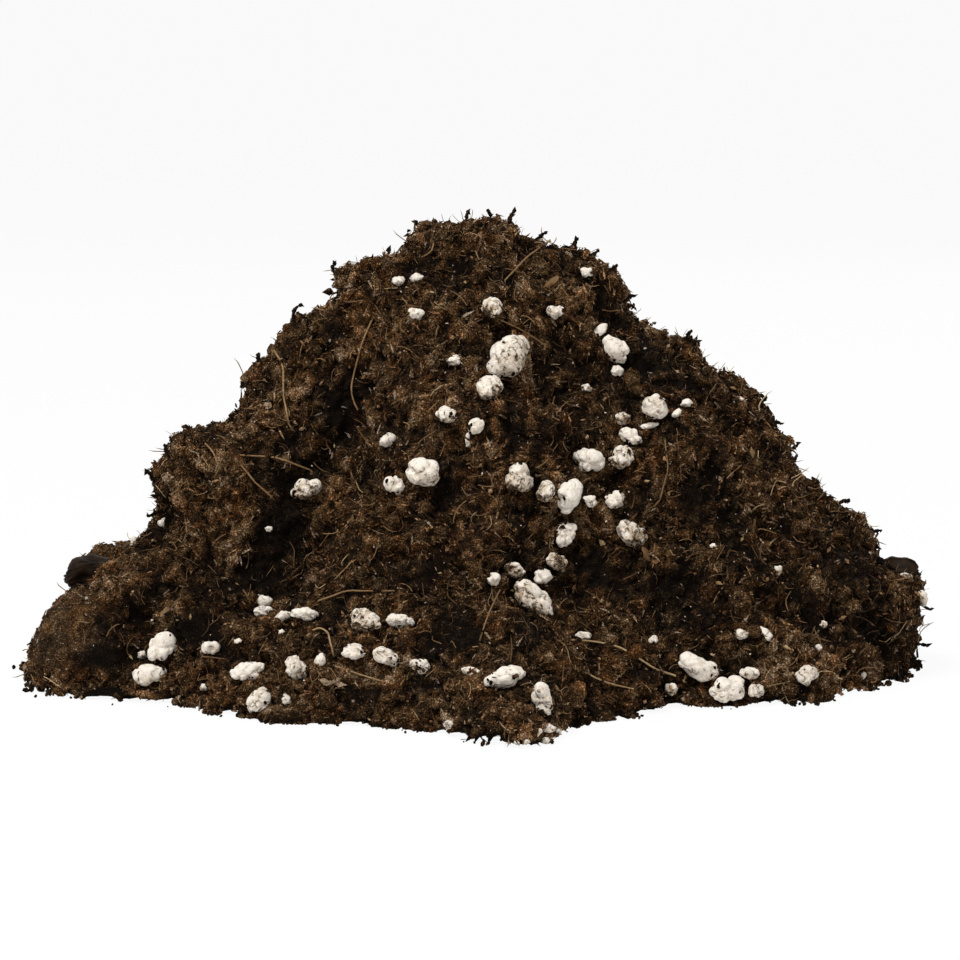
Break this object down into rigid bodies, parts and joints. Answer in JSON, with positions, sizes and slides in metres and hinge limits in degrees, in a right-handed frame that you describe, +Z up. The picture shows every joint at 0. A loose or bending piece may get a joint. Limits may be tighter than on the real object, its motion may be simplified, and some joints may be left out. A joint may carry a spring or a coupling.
{
  "type": "heap of potting mix",
  "caption": "Loose conical heap of dark peat and coir potting mix with white perlite granules and chips of bark, lying on a flat base.",
  "frame": {"origin": "on the floor, under the middle of the heap's box", "axes": "+Z up through the heap, +X to the right as the front is seen, the front faces -Y"},
  "size_m": [0.1992, 0.1864, 0.0991],
  "materials": {
    "soil": "matte",
    "perlite": "matte",
    "bark": "matte"
  },
  "bodies": {
    "root": {"soil_heap": "soil", "bark_chip_left": "bark", "bark_chip_right": "bark", "perlite_granule_01": "perlite", "perlite_granule_02": "perlite", "perlite_granule_03": "perlite", "perlite_granule_04": "perlite", "perlite_granule_05": "perlite", "perlite_granule_06": "perlite", "perlite_granule_07": "perlite", "perlite_granule_08": "perlite", "perlite_granule_09": "perlite", "perlite_granule_10": "perlite", "perlite_granule_11": "perlite", "perlite_granule_12": "perlite", "perlite_granule_13": "perlite", "perlite_granule_14": "perlite", "perlite_granule_15": "perlite", "perlite_granule_16": "perlite", "perlite_granule_17": "perlite", "perlite_granule_18": "perlite", "perlite_granule_19": "perlite", "perlite_granule_20": "perlite", "perlite_granule_21": "perlite", "perlite_granule_22": "perlite", "perlite_granule_23": "perlite", "perlite_granule_24": "perlite", "perlite_granule_25": "perlite", "perlite_granule_26": "perlite", "perlite_granule_27": "perlite", "perlite_granule_28": "perlite", "perlite_granule_29": "perlite", "perlite_granule_30": "perlite", "perlite_granule_31": "perlite", "perlite_granule_32": "perlite", "perlite_granule_33": "perlite", "perlite_granule_34": "perlite", "perlite_granule_35": "perlite", "perlite_granule_36": "perlite", "perlite_granule_37": "perlite", "perlite_granule_38": "perlite", "perlite_granule_39": "perlite", "perlite_granule_40": "perlite", "perlite_granule_41": "perlite", "perlite_granule_42": "perlite", "perlite_granule_43": "perlite", "perlite_granule_44": "perlite", "perlite_granule_45": "perlite", "perlite_granule_46": "perlite", "perlite_granule_47": "perlite", "perlite_granule_48": "perlite", "perlite_granule_49": "perlite", "perlite_granule_50": "perlite", "perlite_granule_51": "perlite", "perlite_granule_52": "perlite"}
  },
  "joints": []
}
